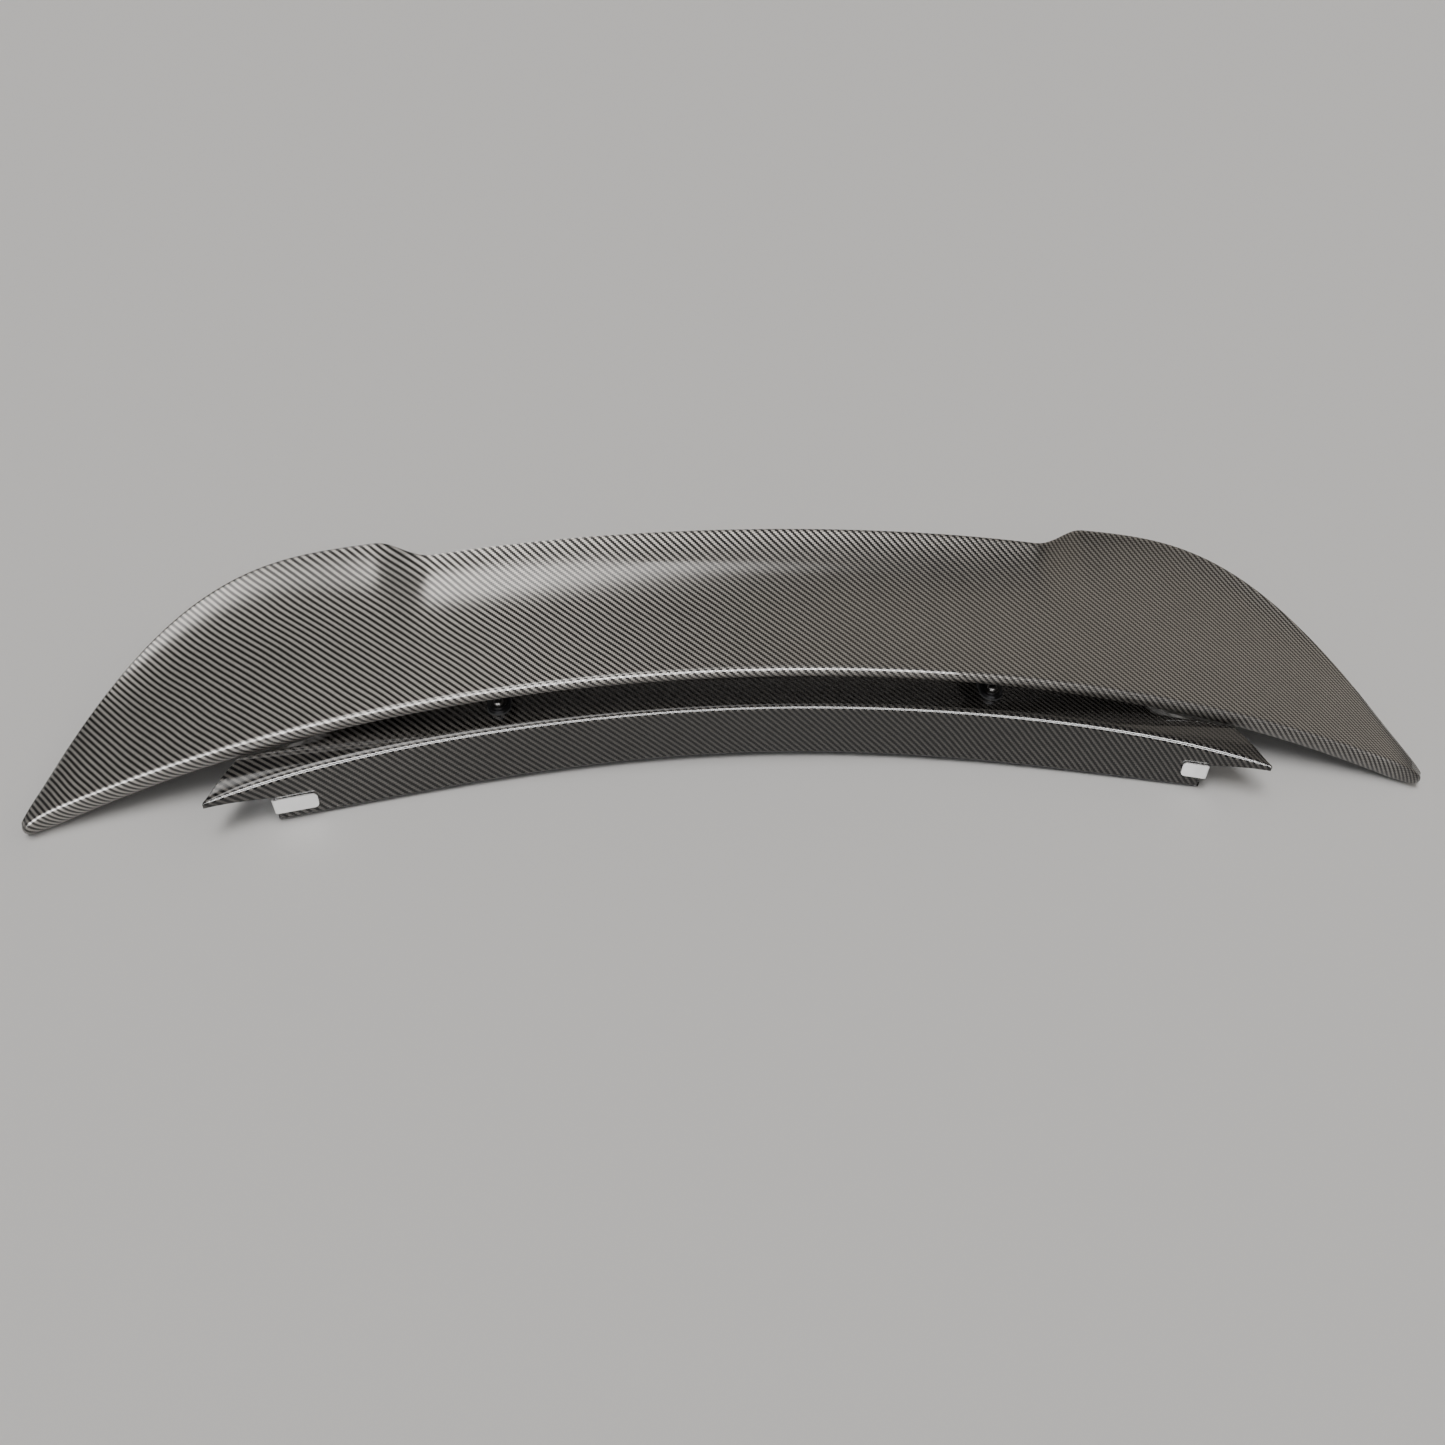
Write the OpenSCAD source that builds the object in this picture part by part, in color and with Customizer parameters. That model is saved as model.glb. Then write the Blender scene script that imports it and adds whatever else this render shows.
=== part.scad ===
// Two-element rear wing in moulded carbon: a hollow upper blade carried on two
// raked pylons over a ducktail base. X runs across the car, +Y towards the
// trailing edge, +Z up. The origin is the centre of the four base bolts, on
// the plane that the base rests on. All sizes are in millimetres.

/* [Blade] */
// Half of the blade's span
half_span = 680; // [660:1:700]
// Height of the leading edge at the centre line
blade_le_z = 100.7; // [98:0.1:106]
// Height of the trailing edge at the centre line
blade_te_z = 129; // [126:0.5:134]
// Leading edge position at the centre line
blade_le_y = -31; // [-34:0.5:-29]
// Trailing edge position at the centre line
blade_te_y = 122.5; // [118:0.5:128]
// Height of the rounded leading edge at the centre line
nose_h = 14.2; // [13.5:0.1:16]
// Thickness of the trailing edge
te_h = 5; // [4.6:0.1:6]
// Thickness of each carbon skin
skin = 1.8; // [1.6:0.1:2]

/* [Base] */
// Half of the base's width, tip to centre line
base_half = 511; // [505:1:516]
// Half of the width of the deep front wall
tongue_half = 450; // [448:1:452]
// Height of the base's front edge at the centre line
base_top_z = 68; // [66:0.5:70]
// Fall of the top face towards the rear, as a slope, at the centre line
base_fall = 0.23; // [0.2:0.01:0.26]
// Wall thickness of the base shell
base_wall = 2; // [1.8:0.1:2.4]

/* [Pylons] */
// Distance of each pylon from the centre line
pylon_x = 242; // [236:1:248]
// Half width of the pylon's foot and head
pylon_r = 11; // [10:0.5:12]
// Thickness of the pylon's web
web_t = 8; // [6:0.5:10]

/* [Fixings] */
// Distance of the base inserts from the centre line
bolt_x = 180; // [170:1:190]
// Distance of the base inserts from the X axis
bolt_y = 35; // [32:0.5:36]
// Radius of the M6 tapping bore
m6_tap = 2.5; // [2.5:0.1:2.6]
// Radius of the M6 clearance hole
m6_clear = 3.3; // [3.2:0.1:3.5]

/* [Hidden] */
carbon = [0.10, 0.10, 0.11];
grp = [0.06, 0.06, 0.06];
alloy = [0.16, 0.16, 0.17];
steel = [0.72, 0.72, 0.70];
rubber = [0.03, 0.03, 0.03];
bond = 0.4;

// ---------- shared curves ----------
function t(x) = abs(x) / half_span;
function clamp01(v) = v < 0 ? 0 : v > 1 ? 1 : v;
function smooth(v) = let (c = clamp01(v)) c * c * (3 - 2 * c);
function root(v) = sqrt(max(0, v));

// leading edge of the blade, swept forward and drooping towards the tips
function le_y(x) = blade_le_y - 59 * pow(t(x), 2) - 36 * pow(t(x), 4) - 3 * pow(t(x), 6);
function le_z(x) = blade_le_z - 92 * pow(t(x), 2) + 13 * pow(t(x), 4);
// trailing edge: a shallow arc in the middle, a shoulder, then the swept tip
function te_mid(x) = blade_te_y - 11.2 * pow(abs(x) / 300, 2);
function te_out(x) = blade_te_y + 12.8 - 253 * pow(max(0, abs(x) - 378) / (half_span - 378), 3.07);
function te_y(x) = let (s = smooth((abs(x) - 307) / 58)) te_mid(x) * (1 - s) + te_out(x) * s;
function te_z(x) = blade_te_z - 67.7 * pow(t(x), 2) - 50.7 * pow(t(x), 4);
// closing ellipses at the tip, in plan and in thickness
function plan_end(x) = abs(x) < half_span - 8 ? 1 : root(1 - pow((abs(x) - half_span + 8) / 8.05, 2));
function thick_end(x) = abs(x) < half_span - 34 ? 1 : root(1 - pow((abs(x) - half_span + 34) / 34.4, 2));
function le_ye(x) = let (m = le_y(x) + 0.35 * (te_y(x) - le_y(x))) m + (le_y(x) - m) * plan_end(x);
function te_ye(x) = let (m = le_y(x) + 0.35 * (te_y(x) - le_y(x))) m + (te_y(x) - m) * plan_end(x);
// rise along the chord: nearly flat, then a kick-up at the trailing edge
function rise(v) = 0.25 * v + 0.75 * pow(v, 6);
function top_z(x, v) = le_z(x) + (te_z(x) - le_z(x)) * rise(v);
function full_h(x, v) = te_h + (nose_h + 12.5 * pow(t(x), 2) - te_h) * pow(1 - min(v, 1), 0.8);
function low_z(x, v) = top_z(x, v) - full_h(x, v);
function mid_z(x, v) = (top_z(x, v) + low_z(x, v)) / 2;
function chord_y(x, v) = le_ye(x) + (te_ye(x) - le_ye(x)) * v;
function chord_v(x, y) = (y - le_ye(x)) / (te_ye(x) - le_ye(x));
function top_e(x, v) = mid_z(x, v) + (top_z(x, v) - mid_z(x, v)) * thick_end(x);
function low_e(x, v) = mid_z(x, v) + (low_z(x, v) - mid_z(x, v)) * thick_end(x);

blade_half = [0, 60, 120, 180, 235, 275, 300, 315, 327, 338, 350, 362, 378, 400, 430, 460,
              490, 520, 548, 574, 598, 618, 635, 648, 658, 666, 672, 676.5, 679.4];
function both(list) = concat([for (i = [len(list) - 1:-1:1]) -list[i]], list);
function scaled(list, top) = [for (v = list) if (v <= top) v];

vt = [0, 0.05, 0.14, 0.27, 0.4, 0.53, 0.65, 0.75, 0.83, 0.9, 0.95, 1];
vb = [1, 0.92, 0.8, 0.62, 0.4, 0.2, 0.06, 0];
function blade_ring(x) = concat(
    [for (v = vt) [x, chord_y(x, v), top_e(x, v)]],
    [[x, te_ye(x) + 1.2 * plan_end(x), mid_z(x, 1)]],
    [for (v = vb) [x, chord_y(x, v), low_e(x, v)]],
    [for (a = [-60:30:60]) [x, le_ye(x) - 6 * plan_end(x) * cos(a),
        mid_z(x, 0) + (top_e(x, 0) - low_e(x, 0)) / 2 * sin(a)]]);

vc = [0.012, 0.14, 0.3, 0.45, 0.6, 0.72, 0.82, 0.9, 0.955];
function cavity_ring(x) = concat(
    [for (v = vc) [x, chord_y(x, v), top_z(x, v) - skin]],
    [for (i = [len(vc) - 1:-1:0]) [x, chord_y(x, vc[i]), low_z(x, vc[i]) + skin]]);

vw = [0.085, 0.3, 0.5, 0.7, 0.82, 0.9];
function window_ring(x) = concat(
    [for (v = vw) [x, chord_y(x, v), low_z(x, v) + skin + 0.5]],
    [for (i = [len(vw) - 1:-1:0]) [x, chord_y(x, vw[i]), low_z(x, vw[i]) - 12]]);

vp = [0.05, 0.17, 0.3, 0.45, 0.6, 0.72, 0.82, 0.89, 0.935];
function panel_ring(x) = concat(
    [for (v = vp) [x, chord_y(x, v), low_z(x, v) + 2 * skin + bond]],
    [for (i = [len(vp) - 1:-1:0]) [x, chord_y(x, vp[i]), low_z(x, vp[i]) + skin + bond]]);

// base: front edge, foot of the front wall, rear edge and top face
function front_y(x) = -56 - 106.3 * pow(t(x), 2) + 45.7 * pow(t(x), 4) - 152.4 * pow(t(x), 6);
function front_z(x) = base_top_z - 48 * pow(t(x), 2);
function foot_y(x) = -66.8 - 165.7 * pow(t(x), 2) + 80 * pow(t(x), 4);
function foot_z(x) = 4.2 - 8.9 * pow(t(x), 2);
function end_y(x) = front_y(base_half) + 2 + (base_half - abs(x)) * 1.9;
// the rear edge runs straight in the middle, then steps forward to clear the blade's nose
function back_y(x) = let (s = smooth((abs(x) - 372) / 54)) (62 - 90 * pow(t(x), 2)) * (1 - s) + le_y(x) * s;
function rear_y(x) = let (a = back_y(x), b = end_y(x), k = 8, h = clamp01(0.5 + 0.5 * (b - a) / k))
    b * (1 - h) + a * h - k * h * (1 - h);
function fall(x) = base_fall * (1 - pow(min(1, abs(x) / base_half), 2));
// a narrow facet rises behind the front edge towards the tips and ends in a crease
function facet_w(x) = 7 + 13 * clamp01((abs(x) - 415) / 90);
function facet_z(x, y) = 0.2 * smooth((abs(x) - 375) / 60) * max(0, min(y - front_y(x), facet_w(x)) - 6);
// under the blade's nose the rear of the tip slopes down out of its way
function dip_z(x, y) = smooth((abs(x) - 395) / 20) * (0.3 + 0.8 * clamp01((abs(x) - 420) / 60)) * max(0, y - le_y(x) + 10.5);
function deck_z(x, y) = front_z(x) - (y - front_y(x)) * fall(x) + facet_z(x, y) - dip_z(x, y);
// underside: the tray's arc inside the deep wall, the thin tip outside it
function tip_z(x) = 26 + 9 * (abs(x) - tongue_half) / (base_half - tongue_half);
function under_z(x) = abs(x) <= tongue_half ? foot_z(x) : tip_z(x);
// foot of the front wall at the height where the wall ends
function wall_y(x, z) = front_y(x) + (foot_y(x) - front_y(x)) * (front_z(x) - z) / (front_z(x) - foot_z(x));

base_in = [0, 60, 120, 160, 205, 260, 300, 340, 372, 384, 394, 404, 414, 426, tongue_half - 0.5];
base_out = [tongue_half + 0.5, 456, 466, 476, 485, 493, 500, 505, 508.5, base_half];
base_list = both(concat(base_in, base_out));

roll = 6;
// radius of the lower edge of the deep wall
function turn(x) = abs(x) <= tongue_half ? 4.5 : 0.8;
function base_ring(x) = let (
    r = min(roll, (front_z(x) - under_z(x)) * 0.42, (rear_y(x) - front_y(x)) * 0.3),
    f = front_y(x), z = front_z(x), b = under_z(x), w = wall_y(x, b),
    k = rear_y(x), kz = deck_z(x, k), ks = deck_z(x, k - 1) - kz,
    kr = min(5 - 3 * clamp01(ks * 2), (kz - b) * 0.3, (k - f) * 0.2),
    d = max(r + 0.5, min(facet_w(x), (k - f) * 0.6)),
    e = le_y(x) - 10.5,
    c = abs(x) > 395 && e > f + d + 1 && e < k - kr - 0.5 ? e : f + d + (k - kr - f - d) * 0.7)
    concat(
        [for (a = [90:-30:0]) let (q = turn(x) * (1 - sin(a)))
            [x, w + (f - w) * q / (z - b) + turn(x) * (1 - cos(a)), b + q]],
        [[x, w * 0.5 + f * 0.5, b * 0.5 + z * 0.5]],
        [for (a = [0:22.5:90]) [x, f + r * (1 - cos(a)) + (w - f) * (r / max(1, z - b)) * (1 - sin(a)),
            z - r * (1 - sin(a)) - r * (1 - cos(a)) * fall(x)]],
        [for (s = [0, 0.5, 1]) let (y = f + d + (c - f - d) * s) [x, y, deck_z(x, y)]],
        [for (a = [90:-30:0]) [x, k - kr * (1 - cos(a)), kz - kr * (1 - sin(a)) + kr * (1 - cos(a)) * ks]],
        [[x, k, b]]);

cav_list = both(concat([for (v = base_in) if (v < tongue_half - 6) v], [tongue_half - 3]));
function base_cavity(x) = let (
    b = under_z(x), w = wall_y(x, b), f = front_y(x), z = front_z(x),
    k = rear_y(x) - base_wall, kz = deck_z(x, k))
    [[x, w + base_wall * 1.05 + (w - f) * 0.1, b - 6], [x, w + base_wall * 1.05, b],
     [x, f + base_wall * 1.05, z - 8], [x, f + base_wall + 4.5, deck_z(x, f + 4.5) - base_wall * 1.05],
     [x, (f + k) / 2, deck_z(x, (f + k) / 2) - base_wall],
     [x, k - 4.5, deck_z(x, k - 4.5) - base_wall], [x, k, kz - base_wall - 4], [x, k, b - 6]];

tip_list = [tongue_half + 3, 460, 468, 476, 484, 491];
function tip_cavity(x) = let (
    b = under_z(x), w = wall_y(x, b), f = front_y(x), z = front_z(x), k = rear_y(x) - base_wall * 1.4)
    [[x, w + base_wall * 1.4, b - 8], [x, w + base_wall * 1.4, b],
     [x, f + base_wall * 2, deck_z(x, f + base_wall * 2) - base_wall * 2],
     [x, k, deck_z(x, k) - base_wall * 1.3], [x, k, b - 8]];

// ---------- helpers ----------
module loft(rings) {
    n = len(rings[0]);
    m = len(rings);
    polyhedron(
        points = [for (r = rings) each r],
        faces = concat(
            [[for (j = [n - 1:-1:0]) j]],
            [[for (j = [0:n - 1]) (m - 1) * n + j]],
            [for (i = [0:m - 2]) for (j = [0:n - 1]) let (k = (j + 1) % n)
                [i * n + j, i * n + k, (i + 1) * n + k]],
            [for (i = [0:m - 2]) for (j = [0:n - 1]) let (k = (j + 1) % n)
                [i * n + j, (i + 1) * n + k, (i + 1) * n + j]]),
        convexity = 8);
}
module obround(y0, y1, r, h) {
    translate([-r, y0, 0]) cube([2 * r, y1 - y0, h]);
    translate([0, y0, 0]) cylinder(r = r, h = h, $fn = 64);
    translate([0, y1, 0]) cylinder(r = r, h = h, $fn = 64);
}
// places children on a plane through [x, y, z] with slopes sx and sy
module on_plane(x, y, z, sx, sy) {
    b = -atan(sx);
    translate([x, y, z]) rotate([atan(sy * cos(b)), b, 0]) children();
}
module pair() {
    children();
    mirror([1, 0, 0]) children();
}

// pylon stations, in plan
foot_f = -39;
foot_b = 21;
head_f = -13;
head_b = 29;
foot_z0 = deck_z(pylon_x, foot_f);
foot_sy = (deck_z(pylon_x, foot_b) - foot_z0) / (foot_b - foot_f);
foot_sx = (deck_z(pylon_x + 10, foot_f) - deck_z(pylon_x - 10, foot_f)) / 20;
function panel_z(x, y) = low_z(x, chord_v(x, y)) + skin + bond;
head_z0 = panel_z(pylon_x, head_f);
head_sy = (panel_z(pylon_x, head_b) - head_z0) / (head_b - head_f);
head_sx = (panel_z(pylon_x + 10, head_f + 20) - panel_z(pylon_x - 10, head_f + 20)) / 20;
module at_foot() { on_plane(pylon_x, foot_f, foot_z0, foot_sx, foot_sy) children(); }
module at_head() { on_plane(pylon_x, head_f, head_z0, head_sx, head_sy) children(); }
plug_x = 238;
plug_y = 11;
foot_len = (foot_b - foot_f) / cos(atan(foot_sy));
head_len = (head_b - head_f) / cos(atan(head_sy));
gasket = 1;
lift = 0.35; // stands each pad clear of the curved shell

// ---------- blade ----------
module blade_upper_skin() {
    color(carbon) difference() {
        loft([for (x = both(blade_half)) blade_ring(x)]);
        loft([for (x = both(concat(scaled(blade_half, 636), [642]))) cavity_ring(x)]);
        loft([for (x = both(concat(scaled(blade_half, 620), [628]))) window_ring(x)]);
    }
}
module blade_lower_skin() {
    color(carbon) difference() {
        loft([for (x = both(scaled(blade_half, 636))) panel_ring(x)]);
        pair() for (d = [0, head_len]) at_head() translate([0, d, -5]) cylinder(r = m6_clear, h = 20, $fn = 32);
    }
}
function spar_low(x, y) = low_z(x, chord_v(x, y)) + 2 * skin + bond + 0.6;
function spar_ring(x) = let (y = chord_y(x, 0.6), tp = top_z(x, chord_v(x, y - 2)) - skin - 0.45)
    [[x, y - 2, spar_low(x, y - 2)], [x, y - 2, tp], [x, y, tp], [x, y, spar_low(x, y) + 1],
     [x, y + 7, spar_low(x, y + 7) + 1], [x, y + 7, spar_low(x, y + 7)], [x, y, spar_low(x, y)]];
module blade_spar() {
    color(carbon) loft([for (x = both([0, 80, 160, 235, 275, 300, 315, 338, 362, 400, 445, 490, 530, 560])) spar_ring(x)]);
}
module blade_insert() {
    color(steel) at_head() difference() {
        translate([0, 0, skin + lift]) obround(0, head_len, 10, 3.6);
        for (d = [0, head_len]) translate([0, d, 0]) cylinder(r = m6_tap, h = 20, $fn = 32);
    }
}
module blade_insert_right() { blade_insert(); }
module blade_insert_left() { mirror([1, 0, 0]) blade_insert(); }

// ---------- pylons ----------
module pylon() {
    color(alloy) difference() {
        union() {
            at_foot() translate([0, 0, gasket + lift]) obround(0, foot_len, pylon_r, 4);
            at_foot() translate([0, foot_len, gasket + lift]) cylinder(r = 8, h = 13, $fn = 48);
            at_head() translate([0, 0, -gasket - lift - 4]) obround(0, head_len, pylon_r, 4);
            translate([pylon_x - web_t / 2, 0, 0]) rotate([90, 0, 90]) linear_extrude(web_t)
                polygon([[foot_f + 16, foot_z0 + foot_sy * 16 + 3], [foot_b - 4, foot_z0 + foot_sy * 56 + 3],
                         [head_b - 9, head_z0 + head_sy * (head_b - head_f - 9) - 3], [head_f + 9, head_z0 + head_sy * 9 - 3]]);
        }
        at_foot() translate([0, 0, -5]) cylinder(r = m6_clear, h = 40, $fn = 32);
        at_foot() translate([0, foot_len, -5]) cylinder(r = m6_tap, h = 18, $fn = 32);
        for (d = [0, head_len]) at_head() translate([0, d, -20]) cylinder(r = m6_clear, h = 30, $fn = 32);
        for (d = [0, head_len]) at_head() translate([0, d, -24 - gasket - lift - 4]) cylinder(r = 6.5, h = 24, $fn = 48);
    }
}
module pylon_right() { pylon(); }
module pylon_left() { mirror([1, 0, 0]) pylon(); }
module pylon_head_gaskets() {
    color(rubber) pair() at_head() difference() {
        translate([0, 0, -gasket - lift]) obround(0, head_len, pylon_r - 0.3, gasket);
        for (d = [0, head_len]) translate([0, d, -5]) cylinder(r = m6_clear, h = 10, $fn = 32);
    }
}
module pylon_foot_gaskets() {
    color(rubber) pair() at_foot() difference() {
        translate([0, 0, lift]) obround(0, foot_len, pylon_r + 0.6, gasket);
        for (d = [0, foot_len]) translate([0, d, -5]) cylinder(r = m6_clear, h = 12, $fn = 32);
    }
}
// cap screws that pull the blade down on the pylon heads
module socket_screw(len, head_r, head_h, key_r) {
    difference() {
        union() {
            cylinder(r = head_r, h = head_h, $fn = 48);
            translate([0, 0, -len]) cylinder(r = 2.45, h = len + 0.1, $fn = 32);
        }
        translate([0, 0, head_h - 3]) cylinder(r = key_r, h = 4, $fn = 6);
    }
}
module washer(r, hole, h) {
    difference() {
        cylinder(r = r, h = h, $fn = 48);
        translate([0, 0, -1]) cylinder(r = hole, h = h + 2, $fn = 32);
    }
}
module blade_screws() {
    color(steel) pair() for (d = [0, head_len]) at_head()
        translate([0, d, -gasket - lift - 4 - 1.2]) rotate([180, 0, 0]) socket_screw(11.6, 5, 6, 2.5);
}
module blade_screw_washers() {
    color(steel) pair() for (d = [0, head_len]) at_head()
        translate([0, d, -gasket - lift - 4 - 1.2]) washer(6, 3.2, 1.2);
}
module button_screw(len) {
    difference() {
        union() {
            rotate_extrude($fn = 48) polygon([[0, 0], [5.25, 0], [5.25, 0.6], [4.9, 1.5], [4.2, 2.4], [3.1, 3.1], [0, 3.3]]);
            translate([0, 0, -len]) cylinder(r = 2.45, h = len + 0.1, $fn = 32);
        }
        translate([0, 0, 1.3]) cylinder(r = 2, h = 4, $fn = 6);
    }
}
module pylon_front_screws() {
    color(steel) pair() at_foot() translate([0, 0, gasket + lift + 4 + 1.4]) button_screw(15);
}
module pylon_front_washers() {
    color(steel) pair() at_foot() translate([0, 0, gasket + lift + 4]) washer(8, 3.2, 1.4);
}
plate_t = 8;
plate_d = base_wall + 1;
module pylon_rear_bolts() {
    color(steel) pair() at_foot() translate([0, foot_len, -plate_d - plate_t - 1.4]) rotate([180, 0, 0])
        socket_screw(23, 5, 6, 2.5);
}
module pylon_rear_washers() {
    color(steel) pair() at_foot() translate([0, foot_len, -plate_d - plate_t - 1.4]) washer(7, 3.2, 1.4);
}

// ---------- base ----------
module base_upper_skin() {
    color(carbon) difference() {
        loft([for (x = base_list) base_ring(x)]);
        loft([for (x = cav_list) base_cavity(x)]);
        pair() loft([for (x = tip_list) tip_cavity(x)]);
        pair() at_foot() translate([0, 0, -12]) cylinder(r = m6_clear, h = 24, $fn = 32);
        pair() at_foot() translate([0, foot_len, -12]) cylinder(r = m6_clear, h = 24, $fn = 32);
        pair() for (d = [0, 20]) bracket_hole(d) cylinder(r = 2.75, h = 20, $fn = 32);
    }
}
tray_in = [for (v = base_in) if (v < 430) v];
function tray_f(x) = wall_y(x, foot_z(x)) + base_wall * 1.05 + 0.5;
function tray_k(x) = rear_y(x) - base_wall - 0.5;
function tray_ring(x) = let (b = foot_z(x) + 0.05)
    [[x, tray_f(x), b], [x, tray_f(x) + 6.2, b + 11], [x, tray_k(x), b + 11], [x, tray_k(x), b]];
function tray_well(x) = let (b = foot_z(x) + 2.05)
    [[x, tray_f(x) + 3.1, b], [x, tray_f(x) + 8, b + 14], [x, tray_k(x) - 2, b + 14], [x, tray_k(x) - 2, b]];
module base_lower_tray() {
    color(grp) difference() {
        loft([for (x = both(concat(tray_in, [441]))) tray_ring(x)]);
        loft([for (x = both(concat(tray_in, [439]))) tray_well(x)]);
        for (x = [-bolt_x, bolt_x], y = [-bolt_y, bolt_y]) translate([x, y, -5]) cylinder(r = 6.4, h = 20, $fn = 48);
        for (x = [-plug_x, plug_x]) translate([x, plug_y, -5]) cylinder(r = 12, h = 20, $fn = 48);
    }
}
function cover_ring(x) = let (b = under_z(x) + 0.3, w = wall_y(x, under_z(x)) + base_wall * 1.4 + 1.8, k = rear_y(x) - base_wall * 1.4 - 1.4)
    [[x, w, b], [x, w, b + 1.6], [x, k, b + 1.6], [x, k, b]];
module base_tip_covers() {
    color(grp) pair() loft([for (x = [tongue_half + 3.4, 460, 468, 476, 484, 489]) cover_ring(x)]);
}
module hardpoint() {
    color(steel) at_foot() difference() {
        translate([0, 0, -plate_d - plate_t]) obround(2, foot_len, 14, plate_t);
        translate([0, 0, -20]) cylinder(r = m6_tap, h = 30, $fn = 32);
        translate([0, foot_len, -20]) cylinder(r = m6_clear, h = 30, $fn = 32);
    }
}
module hardpoint_right() { hardpoint(); }
module hardpoint_left() { mirror([1, 0, 0]) hardpoint(); }
// snap plugs that close the access holes under the rear pylon bolts
module access_plugs() {
    color(rubber) for (x = [-plug_x, plug_x]) translate([x, plug_y, foot_z(pylon_x + 15) - 1.5])
        union() {
            cylinder(r = 15, h = 1.4, $fn = 48);
            translate([0, 0, 1.3]) cylinder(r = 10.5, h = 5, $fn = 48);
        }
}

// ---------- end brackets ----------
leg_x = tongue_half + 2;
ear_x = 467;
ear_y = -78.5;
wall_end = foot_y(tongue_half);
module bracket_hole(d) {
    translate([tongue_half - 8, wall_end + 24 + d, 14]) rotate([0, 90, 0]) children();
}
tab_lean = 21;
tab_h = 15;
// a point in the tab's own plane: u inwards along the tab, v out of the wall, w up the tab
function tab_point(out, z0, a, u, v, w) = [
    leg_x - 1.8 + out - u * cos(a) + (w * sin(tab_lean) - v * cos(tab_lean)) * sin(a),
    wall_y(tongue_half, z0) - 0.9 - out * 0.6 + u * sin(a) + (w * sin(tab_lean) - v * cos(tab_lean)) * cos(a),
    z0 + w * cos(tab_lean) + v * sin(tab_lean)];
function leg_ring(y, low, top) = [[leg_x + 2, y, low], [leg_x, y, low], [leg_x, y, top], [leg_x + 2, y, top]];
module end_bracket(out, len, z0, a) {
    color(steel) difference() {
        union() {
            // one folded strip: the leg, the bend round the end of the wall, and the tab with rounded inner corners
            loft(concat(
                [leg_ring(wall_end + 60, 6, 20), leg_ring(wall_end + 56, 6, 24), leg_ring(wall_end + 30, 6, 24),
                 leg_ring(wall_end + 26, 9, 24), leg_ring(wall_end + 16, z0 - 1, 24), leg_ring(wall_end + 8, z0, min(z0 + 13, 24.6))],
                [[tab_point(out, z0, a, -1.4, 1.4, 0.3), tab_point(out, z0, a, -1.2, 0, 0.3),
                  tab_point(out, z0, a, -1.2, 0, tab_h - 0.3), tab_point(out, z0, a, -1.4, 1.4, tab_h - 0.3)]],
                [for (u = [0.5, len, len + 1.6, len + 3, len + 3.8, len + 4])
                    let (k = u <= len ? 0 : min(3.9, 4 - root(16 - pow(u - len, 2))))
                    [tab_point(out, z0, a, u, 2, k), tab_point(out, z0, a, u, 0, k),
                     tab_point(out, z0, a, u, 0, tab_h - k), tab_point(out, z0, a, u, 2, tab_h - k)]]));
            translate([leg_x + 0.7, ear_y - 12, 5]) cube([ear_x - leg_x - 0.7, 24, 2]);
            translate([ear_x, ear_y, 5]) cylinder(r = 12.5, h = 2, $fn = 48);
        }
        translate([ear_x, ear_y, 0]) cylinder(r = m6_clear, h = 12, $fn = 32);
        for (d = [0, 20]) bracket_hole(d) cylinder(r = 2.75, h = 30, $fn = 32);
    }
}
module end_bracket_right() { end_bracket(2, 20, 14.5, 13); }
module end_bracket_left() { mirror([1, 0, 0]) end_bracket(0, 35, 11, 10.5); }
module bracket_bolts() {
    color(steel) pair() for (d = [0, 20]) bracket_hole(d) translate([0, 0, 13.1]) difference() {
        union() {
            rotate_extrude($fn = 48) polygon([[0, 0], [4.7, 0], [4.7, 0.5], [4.2, 1.5], [3.2, 2.3], [0, 2.7]]);
            translate([0, 0, -14]) cylinder(r = 2.45, h = 14.1, $fn = 32);
        }
        translate([0, 0, 1]) cylinder(r = 1.7, h = 3, $fn = 6);
    }
}
module bracket_washers() {
    color(steel) pair() for (d = [0, 20]) bracket_hole(d) translate([0, 0, 12.05]) washer(5.3, 2.7, 1);
}
module bracket_nuts() {
    color(steel) pair() for (d = [0, 20]) bracket_hole(d) translate([0, 0, 0.6]) difference() {
        union() {
            cylinder(r = 4.6, h = 4, $fn = 6);
            cylinder(r = 3.6, h = 4.3, $fn = 32);
        }
        translate([0, 0, -1]) cylinder(r = 2.5, h = 8, $fn = 32);
    }
}

// ---------- mounting ----------
module mount_inserts() {
    color(steel) for (x = [-bolt_x, bolt_x], y = [-bolt_y, bolt_y]) translate([x, y, 0]) difference() {
        union() {
            cylinder(r = 6, h = 18, $fn = 64);
            translate([0, 0, foot_z(bolt_x + 12) + 2.6]) cylinder(r = 12, h = 2, $fn = 64);
        }
        translate([0, 0, -1]) cylinder(r = m6_tap, h = 17, $fn = 32);
    }
}
module rest_pads() {
    color(rubber) for (x = [-bolt_x, bolt_x], y = [-bolt_y, bolt_y]) translate([x, y, 0])
        washer(15, 6.3, foot_z(bolt_x + 15) - 0.05);
}

blade_upper_skin();
blade_lower_skin();
blade_spar();
blade_insert_left();
blade_insert_right();
pylon_left();
pylon_right();
pylon_head_gaskets();
pylon_foot_gaskets();
blade_screws();
blade_screw_washers();
pylon_front_screws();
pylon_front_washers();
pylon_rear_bolts();
pylon_rear_washers();
base_upper_skin();
base_lower_tray();
base_tip_covers();
hardpoint_left();
hardpoint_right();
access_plugs();
end_bracket_left();
end_bracket_right();
bracket_bolts();
bracket_washers();
bracket_nuts();
mount_inserts();
rest_pads();
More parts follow.
